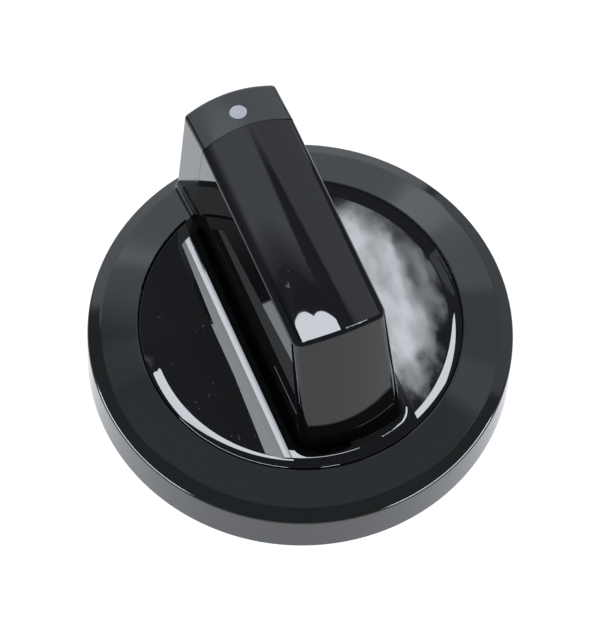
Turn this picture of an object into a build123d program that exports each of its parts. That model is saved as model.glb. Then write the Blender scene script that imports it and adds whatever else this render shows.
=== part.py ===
"""Control knob for a cooker or hob: satin skirt with a pointer block, glossy grip insert, index dot.

Millimetres, +Z up. The shaft axis is Z, the skirt stands on z = 0 and the pointer looks along +Y.
"""
import os
from math import cos, radians, sqrt, tan

from build123d import *

# Skirt: a tapered wall, a bevelled edge and a conical top ring that rises to the lip round the insert.
SKIRT_DIAMETER = 50.0
SKIRT_WALL_HEIGHT = 5.9
SKIRT_DRAFT = 1.5
SKIRT_WALL = 2.1
BEVEL_WIDTH = 1.5
BEVEL_DROP = 0.75
RING_RISE = 1.1
RING_WIDTH = 4.55
EDGE_ROUND = 0.4
CREASE_ROUND = 1.2
LIP_ROUND = 0.25
RING_PLATE = 1.95

# Insert: a shallow recess with a rounded side, a rim wall and a flange that seats under the ring.
SEAM_GAP = 0.05
RIM_WIDTH = 0.1
RIM_BELOW_LIP = 0.1
RECESS_DEPTH = 0.35
RECESS_ROUND = 1.0
FLOOR_THICKNESS = 1.8
RIM_WALL = 1.8
FLANGE_WIDTH = 1.8
FLANGE_THICKNESS = 1.4

# Grip: a crowned bar with drafted sides, from the near end in the recess to the pointer end over the ring.
GRIP_HEIGHT = 25.0
GRIP_TOP_WIDTH = 11.1
SIDE_DRAFT = 2.45
NEAR_SETBACK = 1.3
NEAR_DRAFT = 17.5
NEAR_END_RADIUS = 17.0
FAR_SETBACK = 1.15
FAR_DRAFT = 3.2
CROWN_RADIUS = 17.5
NEAR_CORNER_ROUND = 1.4
FAR_CORNER_ROUND = 0.6
GRIP_TOP_ROUND = 0.55
GRIP_FOOT_ROUND = 0.9
SEAM_DRAFT = 4.4
FACET_SLOPE = 10.0

# Index dot: a filled recess in the pointer facet.
DOT_DIAMETER = 2.05
DOT_DEPTH = 0.3
DOT_CLEARANCE = 0.02
DOT_SETBACK = 5.4

# Underside: a boss with a D-shaped shaft socket, cores in the grip and pointer block, stiffening ribs.
SHAFT_DIAMETER = 6.0
SHAFT_FLAT_HEIGHT = 4.6
SHAFT_CLEARANCE = 0.05
SOCKET_DEPTH = 14.0
LEAD_IN_STEP = 0.25
LEAD_IN_DEPTH = 2.6
BOSS_WALL = 2.5
BOSS_SETBACK = 0.3
CORE_WALL = 1.9
CORE_ROOF = 2.4
CORE_TO_BOSS = 0.5
CORE_ROUND = 0.8
POINTER_SLOT_WIDTH = 1.7
RIB_THICKNESS = 1.2
RIB_SETBACK = 1.0
RIB_ANGLES = (45, 135, 225, 315)

# Sizes that follow from the ones above.
SKIRT_RADIUS = SKIRT_DIAMETER / 2
WALL_TOP_RADIUS = SKIRT_RADIUS - SKIRT_WALL_HEIGHT * tan(radians(SKIRT_DRAFT))
SKIRT_INNER_RADIUS = SKIRT_RADIUS - SKIRT_WALL
RING_RADIUS = WALL_TOP_RADIUS - BEVEL_WIDTH
RING_EDGE_Z = SKIRT_WALL_HEIGHT + BEVEL_DROP
LIP_Z = RING_EDGE_Z + RING_RISE
SEAT_Z = RING_EDGE_Z - RING_PLATE
SEAM_RADIUS = RING_RADIUS - RING_WIDTH
INSERT_RADIUS = SEAM_RADIUS - SEAM_GAP
RIM_Z = LIP_Z - RIM_BELOW_LIP
RIM_RADIUS = INSERT_RADIUS - RIM_WIDTH
FLOOR_Z = RIM_Z - RECESS_DEPTH
FLOOR_RADIUS = RIM_RADIUS - sqrt(RECESS_ROUND**2 - (RECESS_ROUND - RECESS_DEPTH) ** 2)
UNDERSIDE_Z = FLOOR_Z - FLOOR_THICKNESS
FLANGE_Z = SEAT_Z - FLANGE_THICKNESS
SOCKET_RADIUS = SHAFT_DIAMETER / 2 + SHAFT_CLEARANCE
LEAD_IN_RADIUS = SOCKET_RADIUS + LEAD_IN_STEP
BOSS_RADIUS = SOCKET_RADIUS + BOSS_WALL
CORE_TOP_Z = GRIP_HEIGHT - CORE_ROOF
HEADROOM = 10.0
BAR_TOP_Z = GRIP_HEIGHT + HEADROOM
STANDING = (Align.CENTER, Align.CENTER, Align.MIN)


def grip_half_width(z):
    return GRIP_TOP_WIDTH / 2 + (GRIP_HEIGHT - z) * tan(radians(SIDE_DRAFT))


def grip_near(z):
    return FLOOR_RADIUS - NEAR_SETBACK - (z - FLOOR_Z) * tan(radians(NEAR_DRAFT))


def grip_far(z):
    return SKIRT_RADIUS - FAR_SETBACK - (z - RING_EDGE_Z) * tan(radians(FAR_DRAFT))


def seam_radius(z):
    return SEAM_RADIUS - max(z - LIP_Z, 0) * tan(radians(SEAM_DRAFT))


def lathe(profile):
    return revolve(Plane.XZ * profile, Axis.Z)


def near_vertex(shape, radius, z):
    """The vertex of a lathe profile that lies closest to one radius and height."""
    return shape.vertices().sort_by_distance((radius, z, 0))[0]


def drafted_bar():
    """The bar with no top: flat drafted sides, a far end about the shaft and a leaning round near end."""
    low = grip_half_width(SEAT_Z)
    high = grip_half_width(BAR_TOP_Z)
    across = Polyline((-low, SEAT_Z), (low, SEAT_Z), (high, BAR_TOP_Z), (-high, BAR_TOP_Z), close=True)
    sides = extrude(Plane.XZ * make_face(across), SKIRT_DIAMETER, both=True)
    far_low = (grip_far(SEAT_Z), SEAT_Z)
    far_high = (grip_far(BAR_TOP_Z), BAR_TOP_Z)
    far_end = lathe(make_face(Polyline((0, SEAT_Z), far_low, far_high, (0, BAR_TOP_Z), close=True)))
    middle = NEAR_END_RADIUS / cos(radians(NEAR_DRAFT)) - grip_near(FLOOR_Z)
    leaning = Rot(X=-NEAR_DRAFT) * Cylinder(NEAR_END_RADIUS, 4 * BAR_TOP_Z)
    behind = Box(SKIRT_DIAMETER, SKIRT_DIAMETER, 2 * BAR_TOP_Z, align=(Align.CENTER, Align.MIN, Align.CENTER))
    near_end = Pos(0, middle, FLOOR_Z) * leaning + behind
    return sides & far_end & near_end


def crown():
    """Everything below the crowned top: an arch across the bar, drawn out along it."""
    half = grip_half_width(GRIP_HEIGHT - HEADROOM)
    wide = SKIRT_RADIUS
    shoulder = GRIP_HEIGHT - CROWN_RADIUS + sqrt(CROWN_RADIUS**2 - half**2)
    arch = ThreePointArc((-half, shoulder), (0, GRIP_HEIGHT), (half, shoulder))
    walls = Polyline(
        (half, shoulder),
        (wide, shoulder),
        (wide, -HEADROOM),
        (-wide, -HEADROOM),
        (-wide, shoulder),
        (-half, shoulder),
    )
    return extrude(Plane.XZ * make_face([arch, walls]), SKIRT_DIAMETER, both=True)


def rounded_bar(space):
    """The drafted bar inside one space, with its upright corners and its top edge rounded."""
    bar = drafted_bar() & space
    uprights = bar.edges().filter_by(lambda edge: edge.bounding_box().size.Z > GRIP_HEIGHT / 2)
    bar = fillet(uprights.sort_by(Axis.Y)[:2], NEAR_CORNER_ROUND)
    uprights = bar.edges().filter_by(lambda edge: edge.bounding_box().size.Z > GRIP_HEIGHT / 2)
    bar = fillet(uprights.sort_by(Axis.Y)[-2:], FAR_CORNER_ROUND)
    return fillet(bar.faces().sort_by(Axis.Z)[-1].edges(), GRIP_TOP_ROUND)


def standing_bar(plate, bar, foot_round):
    """A bar joined to the plate that it stands on, with the edge at its foot rounded."""
    body = plate + bar
    low = bar.bounding_box().min.Z
    joins = new_edges(plate, bar, combined=body)
    return fillet(joins.filter_by(lambda edge: edge.bounding_box().min.Z > low + foot_round), foot_round)


def seam_plug(gap):
    """The space inside the seam: straight through the ring, tapering up along the end of the bar."""
    base = SEAM_RADIUS - gap
    profile = Polyline(
        (0, -HEADROOM),
        (base, -HEADROOM),
        (base, LIP_Z),
        (seam_radius(BAR_TOP_Z) - gap, BAR_TOP_Z),
        (0, BAR_TOP_Z),
        close=True,
    )
    return lathe(make_face(profile))


def skirt_profile(inner):
    """Half section of the skirt, with its conical top drawn in as far as one radius."""
    slope = RING_RISE / (RING_RADIUS - SEAM_RADIUS)
    profile = make_face(
        Polyline(
            (SKIRT_INNER_RADIUS, 0),
            (SKIRT_RADIUS, 0),
            (WALL_TOP_RADIUS, SKIRT_WALL_HEIGHT),
            (RING_RADIUS, RING_EDGE_Z),
            (inner, RING_EDGE_Z + (RING_RADIUS - inner) * slope),
            (inner, SEAT_Z),
            (SKIRT_INNER_RADIUS, SEAT_Z),
            close=True,
        )
    )
    profile = fillet([near_vertex(profile, WALL_TOP_RADIUS, SKIRT_WALL_HEIGHT)], EDGE_ROUND)
    return fillet([near_vertex(profile, RING_RADIUS, RING_EDGE_Z)], CREASE_ROUND)


def lip_trim():
    """What the rounded lip takes off the ring, except where the pointer block stands on it."""
    sharp = skirt_profile(SEAM_RADIUS)
    trim = lathe(sharp) - lathe(fillet([near_vertex(sharp, SEAM_RADIUS, LIP_Z)], LIP_ROUND))
    width = 2 * (grip_half_width(SEAT_Z) + GRIP_FOOT_ROUND)
    block = Box(width, SKIRT_DIAMETER, BAR_TOP_Z, align=(Align.CENTER, Align.MIN, Align.MIN))
    return trim - block


def dot_socket(radius):
    """A round plug square to the pointer facet, with its foot one dot depth below the facet."""
    slope = radians(FACET_SLOPE)
    crease = seam_radius(GRIP_HEIGHT)
    reach = SKIRT_RADIUS - DOT_SETBACK
    z = GRIP_HEIGHT - (reach - crease) * tan(slope)
    place = Pos(0, reach, z) * Rot(X=-FACET_SLOPE) * Pos(0, 0, -DOT_DEPTH)
    return place * Cylinder(radius, 2 * DOT_DEPTH, align=STANDING)


def pointer_bar():
    """The far half of the bar, with a top that slopes down from the seam to the pointer edge."""
    hinge = Pos(0, seam_radius(GRIP_HEIGHT), GRIP_HEIGHT)
    sloped = hinge * Rot(X=-FACET_SLOPE) * hinge.inverse() * crown()
    half = Box(SKIRT_DIAMETER, SKIRT_DIAMETER, 2 * BAR_TOP_Z, align=(Align.CENTER, Align.MIN, Align.CENTER))
    return rounded_bar(sloped & Pos(0, SEAM_RADIUS / 2, 0) * half)


def pointer_slot():
    """A slot that cores the pointer block from below and keeps its walls even."""
    middle = (SEAM_RADIUS + grip_far(GRIP_HEIGHT)) / 2
    length = GRIP_TOP_WIDTH - 2 * CORE_WALL
    depth = GRIP_HEIGHT - 2 * CORE_ROOF - SEAT_Z
    return Pos(0, middle, SEAT_Z) * Box(length, POINTER_SLOT_WIDTH, depth, align=STANDING)


def skirt_ring():
    plate = lathe(skirt_profile(SEAM_RADIUS - 4 * GRIP_FOOT_ROUND))
    body = standing_bar(plate, pointer_bar(), GRIP_FOOT_ROUND)
    return body - seam_plug(0) - lip_trim() - pointer_slot() - dot_socket(DOT_DIAMETER / 2)


def floor_plate():
    """The flat floor of the recess, drawn out past the seam."""
    return Pos(0, 0, UNDERSIDE_Z) * Cylinder(SKIRT_RADIUS, FLOOR_THICKNESS, align=STANDING)


def rim():
    """The rounded side of the recess, the wall below it and the flange."""
    inner = INSERT_RADIUS - RIM_WALL
    flange_radius = SEAM_RADIUS + FLANGE_WIDTH
    side = RadiusArc((FLOOR_RADIUS, FLOOR_Z), (RIM_RADIUS, RIM_Z), -RECESS_ROUND)
    outline = Polyline(
        (RIM_RADIUS, RIM_Z),
        (INSERT_RADIUS, RIM_Z),
        (INSERT_RADIUS, SEAT_Z),
        (flange_radius, SEAT_Z),
        (flange_radius, FLANGE_Z),
        (inner, FLANGE_Z),
        (inner, UNDERSIDE_Z),
        (FLOOR_RADIUS, UNDERSIDE_Z),
        (FLOOR_RADIUS, FLOOR_Z),
    )
    return lathe(make_face([side, outline]))


def grip_cores():
    """The hollows of the bar on either side of the shaft socket, open to the underside."""
    half = GRIP_TOP_WIDTH / 2 - CORE_WALL
    inner = BOSS_RADIUS + CORE_TO_BOSS
    far = sqrt((seam_radius(CORE_TOP_Z) - CORE_WALL) ** 2 - half**2)
    near_top = grip_near(CORE_TOP_Z) - CORE_WALL
    near_low = grip_near(UNDERSIDE_Z) - CORE_WALL
    depth = CORE_TOP_Z - UNDERSIDE_Z + HEADROOM
    far_plan = Pos(0, (inner + far) / 2) * RectangleRounded(2 * half, far - inner, CORE_ROUND)
    far_core = extrude(Plane.XY.offset(UNDERSIDE_Z - HEADROOM) * far_plan, depth)
    near_side = make_face(
        Polyline(
            (-inner, UNDERSIDE_Z - HEADROOM),
            (-near_low, UNDERSIDE_Z - HEADROOM),
            (-near_low, UNDERSIDE_Z),
            (-near_top, CORE_TOP_Z),
            (-inner, CORE_TOP_Z),
            close=True,
        )
    )
    near_core = extrude(Plane.YZ * near_side, half, both=True)
    return far_core + near_core


def shaft_socket():
    """A round lead-in below a D-shaped socket."""
    lead_in = Cylinder(LEAD_IN_RADIUS, LEAD_IN_DEPTH + HEADROOM, align=STANDING)
    shaft = Cylinder(SOCKET_RADIUS, SOCKET_DEPTH, align=STANDING)
    flat_at = SHAFT_FLAT_HEIGHT - SHAFT_DIAMETER / 2 + SHAFT_CLEARANCE
    flat = Pos(0, -flat_at, 0) * Box(
        SHAFT_DIAMETER * 2, SHAFT_DIAMETER, SOCKET_DEPTH, align=(Align.CENTER, Align.MAX, Align.MIN)
    )
    return Pos(0, 0, BOSS_SETBACK - HEADROOM) * lead_in + Pos(0, 0, BOSS_SETBACK) * (shaft - flat)


def stiffeners():
    """Ribs on the underside that run from the boss to the rim wall."""
    length = INSERT_RADIUS - RIB_SETBACK
    rib = Pos(0, 0, RIB_SETBACK) * Box(
        length, RIB_THICKNESS, UNDERSIDE_Z - RIB_SETBACK, align=(Align.MIN, Align.CENTER, Align.MIN)
    )
    return [Rot(Z=angle) * rib for angle in RIB_ANGLES]


def grip_insert():
    body = standing_bar(floor_plate(), rounded_bar(crown()), GRIP_FOOT_ROUND)
    body = (body & seam_plug(SEAM_GAP)) + rim()
    boss = Pos(0, 0, BOSS_SETBACK) * Cylinder(BOSS_RADIUS, SOCKET_DEPTH + CORE_ROOF, align=STANDING)
    body = body - grip_cores()
    body = body + [boss, *stiffeners()]
    return body - shaft_socket()


def index_dot():
    return dot_socket(DOT_DIAMETER / 2 - DOT_CLEARANCE) & pointer_bar()


PARTS = {
    "skirt_ring": skirt_ring,
    "grip_insert": grip_insert,
    "index_dot": index_dot,
}

os.makedirs("parts", exist_ok=True)
for name, make in PARTS.items():
    export_step(make(), f"parts/{name}.step")
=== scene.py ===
"""Studio scene of a black control knob: satin skirt, glossy grip insert and index dot."""
import math

import bpy
from mathutils import Matrix, Vector

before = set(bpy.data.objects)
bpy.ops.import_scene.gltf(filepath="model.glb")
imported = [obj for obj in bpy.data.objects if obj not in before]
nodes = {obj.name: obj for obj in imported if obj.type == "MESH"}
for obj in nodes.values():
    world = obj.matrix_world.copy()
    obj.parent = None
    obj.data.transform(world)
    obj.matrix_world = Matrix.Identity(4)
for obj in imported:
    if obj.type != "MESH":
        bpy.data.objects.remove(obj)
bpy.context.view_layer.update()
scene = bpy.context.scene

# Lengths are in metres and angles in degrees throughout.
# Camera: the photograph's viewing angle, for a picture of 600 by 633.
VIEW_ELEVATION = 63.30
VIEW_TURN = 25.83
VIEW_ROLL = 3.33
VIEW_DISTANCE = 0.400
VIEW_CLIP = (0.01, 20)
SENSOR = 36.0
LENS = 192.46
SHIFT = (0.0012, 0.0547)

# Plastics and paint. A pair of roughnesses is the range that the noise covers.
NOISE_SPREAD = (0.3, 0.7)
SATIN_COLOUR = (0.0036, 0.0040, 0.0042, 1)
SATIN_ROUGHNESS = (0.07, 0.11)
GRAIN_STRENGTH = 0.05
GRAIN_DEPTH = 0.00002
GLOSS_COLOUR = (0.0035, 0.0036, 0.0045, 1)
GLOSS_ROUGHNESS = (0.006, 0.012)
RUBBED_SPREAD = (0.35, 0.7)
RUBBED_ROUGHNESS = (0.10, 0.22)
STRIP_ROUGHNESS = (0.31, 0.05)
SPECK_SPREAD = (0.66, 0.74)
SPECK_ROUGHNESS = 0.15
WORN_SPREAD = (0.45, 0.60)
PAINT_COLOUR = (0.30, 0.315, 0.345)
PAINT_COAT = (0.92, 1.0)
PAINT_ROUGHNESS = (0.6, 0.45)

# Recess floor: where its areas lie. The bar runs along Y, and the strip is on its left.
FLAT_NORMAL = 0.9995
FLOOR_TOP = 0.00768
FLOOR_REACH = 0.0187
BORDER_RADIUS = 0.0173
BORDER_CURVE = 0.0042
NEAR_FADE = (0.10, 0.16)
BAR_REACH = 0.0076
STRIP_EDGE = -0.0089
STRIP_TAPER = 0.046
STRIP_END = 0.0155
STRIP_FOOT = -0.00765
STRIP_GLINT = -0.0084
FILLET_TOP = 0.0084
FILLET_REACH = -0.0076
FILLET_FACING = -0.03
PATCH_CENTRE = (0.0070, -0.0007, 0.0073)
PATCH_STRETCH = 0.70
PATCH_SKEW = -0.30
PATCH_RAGGED = 0.013
PATCH_FADE = (0.0068, 0.0118)
RUB_FADE = (0.0103, 0.0128)

# Recess floor: the sideways part of the shading normal in each area.
LEFT_LEAN = Vector((0.028, -0.012, 0))
STRIP_LEAN = Vector((-0.028, -0.035, 0))
FOOT_LEAN = Vector((0.12, 0, 0))
FRONT_LEAN = Vector((-0.02, -0.15, 0))
RIGHT_LEAN = Vector((0.012, 0, 0))
PATCH_LEAN = Vector((-0.042, -0.034, 0))
SIDE_NORMAL = (-0.999, 0, 0.043)

# Table: it lies just under the rim, so that the two planes don't coincide.
TABLE_SIZE = 3.0
TABLE_DROP = -0.00005
TABLE_COLOUR = (0.2, 0.2, 0.2, 1)
TABLE_ROUGHNESS = 0.9
TABLE_GLOW_COLOUR = (0.93, 0.96, 1, 1)
TABLE_GLOW = 1.08

# Lights. Blender's area lights have a radiance of a quarter of their watts per square metre.
DAYLIGHT = (0.88, 0.94, 1.0)
WATTS_PER_RADIANCE = 4
WORLD_GLOW = 0.2
INSERT_PIECES = ["grip_insert", "index_dot"]
SKIRT_PIECES = ["skirt_ring"]
PANEL_HEIGHT = 1.0
PANEL_RADIANCE = 12.5
# Name, reach in X, reach in Y, turn.
INSERT_PANELS = [
    ("main_left", (-0.30, -0.04), (0.20, 0.4422), -4.23),
    ("main_right", (-0.04, 0.212), (0.20, 0.4342), 1.0),
    ("second", (0.27, 0.66), (0.06, 0.385), 0.0),
]
# Name, turn, rise, distance, size, radiance.
BACK_WALL = ("back_wall", -16, 24, 1.3, (1.9, 1.2), 1.0)
SKIRT_SOFTBOXES = [
    ("right_wall", 45, 36, 1.3, (1.15, 1.2), 0.55),
    ("zenith", 0, 82, 1.0, (1.7, 0.6), 0.26),
    ("left", -112, 24, 1.0, (0.9, 0.32), 18.0),
    ("right", 114, 24, 1.0, (0.9, 0.32), 18.0),
]
# Ceiling: where it lies, how far its start shifts along X, and how it glows beyond the start.
CEILING_X = (-0.36, 1.0)
CEILING_Y = (0.45, 1.1)
CEILING_HEIGHT = 1.0
LEFT_SHIFT_X, LEFT_SHIFT = (-0.30, 0.10), (0.022, 0.0)
RIGHT_SHIFT_X, RIGHT_SHIFT = (0.17, 0.25), (0.0, 0.075)
RIGHT_SHIFT_END_X = (0.31, 0.42)
GLOW_START, GLOW = (0.448, 0.480), (0.25, 1.25)
LEFT_DIM_X, LEFT_DIM = (-0.34, -0.26), (0.2, 1.0)
RIGHT_DIM_X, RIGHT_DIM = (0.15, 0.40), (1.0, 0.7)


def picture_axes():
    """Level directions of the picture: to its right, and away from the camera."""
    turn = math.radians(VIEW_TURN)
    right = Vector((math.cos(turn), -math.sin(turn), 0))
    away = Vector((math.sin(turn), math.cos(turn), 0))
    return right, away


RIGHT, AWAY = picture_axes()
UP = Vector((0, 0, 1))


def make_camera():
    elevation = math.radians(VIEW_ELEVATION)
    roll = math.radians(VIEW_ROLL)
    back = UP * math.sin(elevation) - AWAY * math.cos(elevation)
    above = back.cross(RIGHT)
    side = RIGHT * math.cos(roll) + above * math.sin(roll)
    top = above * math.cos(roll) - RIGHT * math.sin(roll)
    data = bpy.data.cameras.new("camera")
    data.sensor_width = SENSOR
    data.lens = LENS
    data.shift_x, data.shift_y = SHIFT
    data.clip_start, data.clip_end = VIEW_CLIP
    camera = bpy.data.objects.new("camera", data)
    turn = Matrix((side, top, back)).transposed().to_4x4()
    camera.matrix_world = Matrix.Translation(back * VIEW_DISTANCE) @ turn
    scene.collection.objects.link(camera)
    scene.camera = camera


class Material:
    """A Principled material and short ways to add the nodes that feed it."""

    def __init__(self, name):
        self.data = bpy.data.materials.new(name)
        self.data.use_nodes = True
        self.tree = self.data.node_tree
        self.tree.nodes.clear()
        output = self.tree.nodes.new("ShaderNodeOutputMaterial")
        self.shader = self.tree.nodes.new("ShaderNodeBsdfPrincipled")
        self.tree.links.new(self.shader.outputs["BSDF"], output.inputs["Surface"])

    def feed(self, socket, value):
        if isinstance(value, bpy.types.NodeSocket):
            self.tree.links.new(value, socket)
        else:
            socket.default_value = value

    def set(self, **values):
        for name, value in values.items():
            self.feed(self.shader.inputs[name.replace("_", " ")], value)

    def node(self, kind, output, **inputs):
        node = self.tree.nodes.new("ShaderNode" + kind)
        for name, value in inputs.items():
            self.feed(node.inputs[name.replace("_", " ")], value)
        return node.outputs[output]

    def operation(self, kind, operation, values):
        node = self.tree.nodes.new("ShaderNode" + kind)
        node.operation = operation
        for socket, value in zip(node.inputs, values):
            self.feed(socket, value)
        return node

    def math(self, operation, *values):
        return self.operation("Math", operation, values).outputs[0]

    def vector(self, operation, *values, output="Vector"):
        return self.operation("VectorMath", operation, values).outputs[output]

    def scaled(self, vector, factor):
        node = self.operation("VectorMath", "SCALE", [vector])
        self.feed(node.inputs["Scale"], factor)
        return node.outputs["Vector"]

    def above(self, value, limit):
        return self.math("GREATER_THAN", value, limit)

    def below(self, value, limit):
        return self.math("LESS_THAN", value, limit)

    def rest(self, mask):
        """What a mask leaves out."""
        return self.math("SUBTRACT", 1, mask)

    def product(self, first, *others):
        for other in others:
            first = self.math("MULTIPLY", first, other)
        return first

    def place(self):
        return self.node("TexCoord", "Object")

    def parts(self, vector):
        node = self.tree.nodes.new("ShaderNodeSeparateXYZ")
        self.feed(node.inputs[0], vector)
        return node.outputs

    def noise(self, scale, detail, stretch=(1, 1, 1)):
        place = self.vector("MULTIPLY", self.place(), stretch)
        return self.node("TexNoise", "Fac", Vector=place, Scale=scale, Detail=detail)

    def mapped(self, value, span, to):
        """The value carried from one range to another, and held at its ends."""
        return self.node(
            "MapRange",
            "Result",
            Value=value,
            From_Min=span[0],
            From_Max=span[1],
            To_Min=to[0],
            To_Max=to[1],
        )


def satin_black():
    """Moulded satin plastic: a fine grain in the surface and slow changes of sheen."""
    material = Material("satin_black")
    sheen = material.mapped(material.noise(scale=160, detail=3), NOISE_SPREAD, SATIN_ROUGHNESS)
    grain = material.noise(scale=9000, detail=2)
    bump = material.node(
        "Bump", "Normal", Strength=GRAIN_STRENGTH, Distance=GRAIN_DEPTH, Height=grain
    )
    material.set(Base_Color=SATIN_COLOUR, Roughness=sheen, Normal=bump)
    return material.data


class RecessFloor:
    """Shallow waves of the moulded recess floor, as a shading normal and as masks of its areas.

    The mesh has a flat floor there. A mask is 1 in its area and 0 elsewhere.
    """

    def __init__(self, material):
        self.material = material
        self.place = material.place()
        self.mesh_normal = material.node("NewGeometry", "Normal")
        self.x, self.y, self.z = material.parts(self.place)
        level = material.vector("MULTIPLY", self.place, (1, 1, 0))
        self.radius = material.vector("LENGTH", level, output="Value")
        self.outward = material.vector("NORMALIZE", level)
        self.find_areas()
        self.find_patch()
        self.normal = self.shading_normal()

    def find_areas(self):
        """The whole floor with its border, its halves, and the strip and foot beside the bar."""
        material, x = self.material, self.x
        flat = material.above(material.parts(self.mesh_normal)["Z"], FLAT_NORMAL)
        border = material.above(self.radius, BORDER_RADIUS)
        low = material.below(self.z, FLOOR_TOP)
        reach = material.below(self.radius, FLOOR_REACH)
        self.floor = material.product(low, reach, material.math("MAXIMUM", flat, border))
        self.inside = material.rest(border)
        self.beside = material.above(material.math("ABSOLUTE", x), BAR_REACH)
        self.right = material.above(x, 0)
        self.left = material.rest(self.right)
        taper = material.product(material.math("SUBTRACT", STRIP_END, self.y), STRIP_TAPER)
        edge = material.math("SUBTRACT", STRIP_EDGE, taper)
        strip = material.product(material.above(x, edge), self.left, self.inside)
        self.foot = material.product(material.above(x, STRIP_FOOT), strip)
        self.strip = material.math("SUBTRACT", strip, self.foot)
        self.glint = material.above(x, STRIP_GLINT)

    def find_patch(self):
        """The cloudy patch on the right, and the rubbed area that reaches past it."""
        material = self.material
        cloud = material.noise(scale=230, detail=5, stretch=(1, 0.6, 1))
        cloud = material.math("SUBTRACT", cloud, 0.5)
        apart = material.vector("SUBTRACT", self.place, PATCH_CENTRE)
        apart = material.vector("MULTIPLY", apart, (1, PATCH_STRETCH, 0))
        skew = material.product(material.math("MINIMUM", self.y, 0), PATCH_SKEW)
        apart = material.vector("ADD", apart, material.scaled((1, 0, 0), skew))
        apart = material.vector("LENGTH", apart, output="Value")
        apart = material.math("ADD", apart, material.product(cloud, PATCH_RAGGED))
        patch = material.mapped(apart, PATCH_FADE, (1, 0))
        rub = material.mapped(apart, RUB_FADE, (1, 0))
        self.patch = material.product(patch, self.right, self.inside)
        self.rub = material.product(rub, self.right, self.inside)

    def foot_fillet(self):
        """The fillet at the bar's left foot, which is shaded like the bar's side."""
        material = self.material
        return material.product(
            material.below(self.z, FILLET_TOP),
            material.below(material.parts(self.mesh_normal)["X"], FILLET_FACING),
            self.left,
            material.above(self.x, FILLET_REACH),
            self.inside,
        )

    def shading_normal(self):
        """The leaning floor, rounded over towards the seam on the near side, and the mesh elsewhere."""
        material = self.material
        near = material.mapped(material.parts(self.outward)["Y"], NEAR_FADE, (1, 0))
        rise = material.math("MAXIMUM", material.math("SUBTRACT", self.radius, BORDER_RADIUS), 0)
        rise = material.math("DIVIDE", material.product(rise, near, self.beside), BORDER_CURVE)
        turn = material.scaled(self.outward, rise)
        leans = [
            (LEFT_LEAN, self.left),
            (STRIP_LEAN - LEFT_LEAN, self.strip),
            (FOOT_LEAN - LEFT_LEAN, self.foot),
            (FRONT_LEAN, material.rest(self.beside)),
            (RIGHT_LEAN, self.right),
            (PATCH_LEAN - RIGHT_LEAN, self.patch),
        ]
        for lean, mask in leans:
            turn = material.vector("ADD", turn, material.scaled(tuple(lean), mask))
        waves = material.scaled(material.vector("ADD", turn, (0, 0, 1)), self.floor)
        fillet = self.foot_fillet()
        keep = material.scaled(self.mesh_normal, material.rest(fillet))
        other = material.vector("ADD", keep, material.scaled(SIDE_NORMAL, fillet))
        other = material.scaled(other, material.rest(self.floor))
        return material.vector("NORMALIZE", material.vector("ADD", waves, other))


def gloss_black():
    """High-gloss moulded plastic, rubbed hazy on the right of the recess floor."""
    material = Material("gloss_black")
    recess = RecessFloor(material)
    rubbed = material.noise(scale=420, detail=4, stretch=(1, 0.5, 1))
    rubbed = material.mapped(rubbed, RUBBED_SPREAD, RUBBED_ROUGHNESS)
    hazy = material.product(rubbed, recess.rub, recess.floor)
    dull = material.mapped(recess.glint, (0, 1), STRIP_ROUGHNESS)
    dull = material.product(dull, recess.strip, recess.floor)
    polish = material.mapped(material.noise(scale=300, detail=3), NOISE_SPREAD, GLOSS_ROUGHNESS)
    specks = material.noise(scale=4200, detail=2, stretch=(1, 0.4, 1))
    specks = material.mapped(specks, SPECK_SPREAD, (0, SPECK_ROUGHNESS))
    worn = material.mapped(material.noise(scale=190, detail=2), WORN_SPREAD, (0, 1))
    polish = material.math("MAXIMUM", polish, material.product(specks, worn))
    roughness = material.math("MAXIMUM", polish, material.math("MAXIMUM", hazy, dull))
    material.set(Base_Color=GLOSS_COLOUR, Roughness=roughness, Normal=recess.normal)
    return material.data


def index_grey():
    """Pale grey paint with a slightly uneven coat."""
    material = Material("index_grey")
    coat = material.mapped(material.noise(scale=1500, detail=2), NOISE_SPREAD, PAINT_COAT)
    roughness = material.mapped(coat, PAINT_COAT, PAINT_ROUGHNESS)
    material.set(Base_Color=material.scaled(PAINT_COLOUR, coat), Roughness=roughness)
    return material.data


def dress(node, material):
    mesh = nodes[node].data
    mesh.materials.clear()
    mesh.materials.append(material)


def card(name, corners, material):
    """A flat face of the studio, which isn't part of the knob."""
    mesh = bpy.data.meshes.new(name)
    mesh.from_pydata(corners, [], [tuple(range(len(corners)))])
    mesh.materials.append(material)
    thing = bpy.data.objects.new(name, mesh)
    scene.collection.objects.link(thing)


def make_floor():
    """A pale table lit from within, so that the knob stands on plain white."""
    material = Material("table")
    material.set(Base_Color=TABLE_COLOUR, Roughness=TABLE_ROUGHNESS)
    material.set(Emission_Color=TABLE_GLOW_COLOUR, Emission_Strength=TABLE_GLOW)
    turns = [(-1, -1), (1, -1), (1, 1), (-1, 1)]
    corners = [(x * TABLE_SIZE, y * TABLE_SIZE, TABLE_DROP) for x, y in turns]
    card("table", corners, material.data)


def make_world():
    world = bpy.data.worlds.new("studio")
    scene.world = world
    world.use_nodes = True
    background = world.node_tree.nodes["Background"]
    background.inputs["Color"].default_value = (*DAYLIGHT, 1)
    background.inputs["Strength"].default_value = WORLD_GLOW


def area_light(name, matrix, size, radiance):
    data = bpy.data.lights.new(name, "AREA")
    data.shape = "RECTANGLE"
    data.size, data.size_y = size
    data.energy = WATTS_PER_RADIANCE * size[0] * size[1] * radiance
    data.color = DAYLIGHT
    light = bpy.data.objects.new(name, data)
    light.matrix_world = matrix
    light.visible_camera = False
    scene.collection.objects.link(light)
    return light


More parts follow.
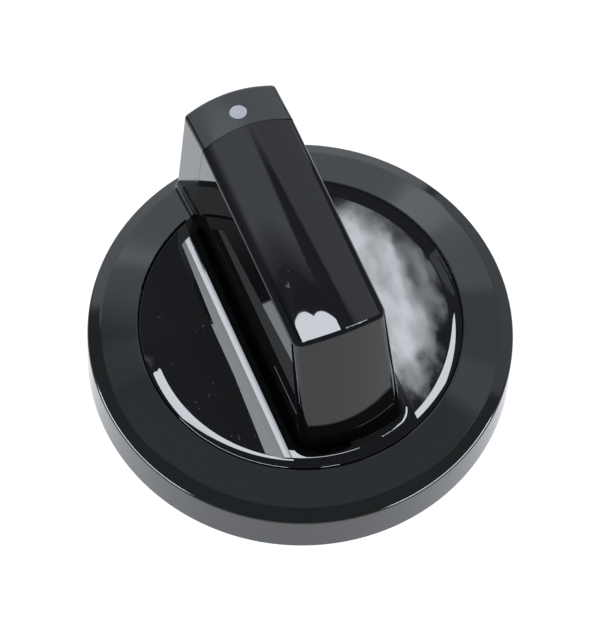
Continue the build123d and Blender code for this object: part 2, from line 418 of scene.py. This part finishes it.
def overhead(name, x_range, y_range, turn):
    """A level panel that faces down, square to the bar but for a small turn."""
    middle = Vector((sum(x_range) / 2, sum(y_range) / 2, PANEL_HEIGHT))
    size = (x_range[1] - x_range[0], y_range[1] - y_range[0])
    matrix = Matrix.Translation(middle) @ Matrix.Rotation(math.radians(turn), 4, "Z")
    return area_light(name, matrix, size, PANEL_RADIANCE)


def softbox(name, turn, rise, distance, size, radiance):
    """A light that faces the knob; turn 0 is straight away from the camera."""
    turn, rise = math.radians(turn), math.radians(rise)
    out = RIGHT * math.sin(turn) + AWAY * math.cos(turn)
    out = out * math.cos(rise) + UP * math.sin(rise)
    level = UP.cross(out).normalized()
    axes = Matrix((level, out.cross(level), out)).transposed().to_4x4()
    return area_light(name, Matrix.Translation(out * distance) @ axes, size, radiance)


def light_only(light, names):
    """Lets a light fall on the named pieces alone."""
    lit = bpy.data.collections.new(light.name + "_lit")
    for name in names:
        lit.objects.link(nodes[name])
    light.light_linking.receiver_collection = lit


def make_ceiling():
    """A dim ceiling that starts softly beyond the main panels."""
    material = Material("ceiling")
    x, y, _ = material.parts(material.place())
    left_shift = material.mapped(x, LEFT_SHIFT_X, LEFT_SHIFT)
    right_shift = material.mapped(x, RIGHT_SHIFT_X, RIGHT_SHIFT)
    right_shift = material.product(right_shift, material.mapped(x, RIGHT_SHIFT_END_X, (1, 0)))
    into = material.math("SUBTRACT", y, material.math("ADD", left_shift, right_shift))
    glow = material.product(
        material.mapped(into, GLOW_START, GLOW),
        material.mapped(x, LEFT_DIM_X, LEFT_DIM),
        material.mapped(x, RIGHT_DIM_X, RIGHT_DIM),
    )
    material.set(Base_Color=(0, 0, 0, 1), Roughness=1.0, Specular_IOR_Level=0.0)
    material.set(Emission_Color=(*DAYLIGHT, 1), Emission_Strength=glow)
    (left, right), (near, far) = CEILING_X, CEILING_Y
    outline = [(left, far), (right, far), (right, near), (left, near)]
    card("ceiling", [(*corner, CEILING_HEIGHT) for corner in outline], material.data)


make_camera()
dress("skirt_ring", satin_black())
dress("grip_insert", gloss_black())
dress("index_dot", index_grey())
make_floor()
make_world()
for panel in INSERT_PANELS:
    light_only(overhead(*panel), INSERT_PIECES)
make_ceiling()
softbox(*BACK_WALL)
for box in SKIRT_SOFTBOXES:
    light_only(softbox(*box), SKIRT_PIECES)
scene.view_settings.view_transform = "Standard"
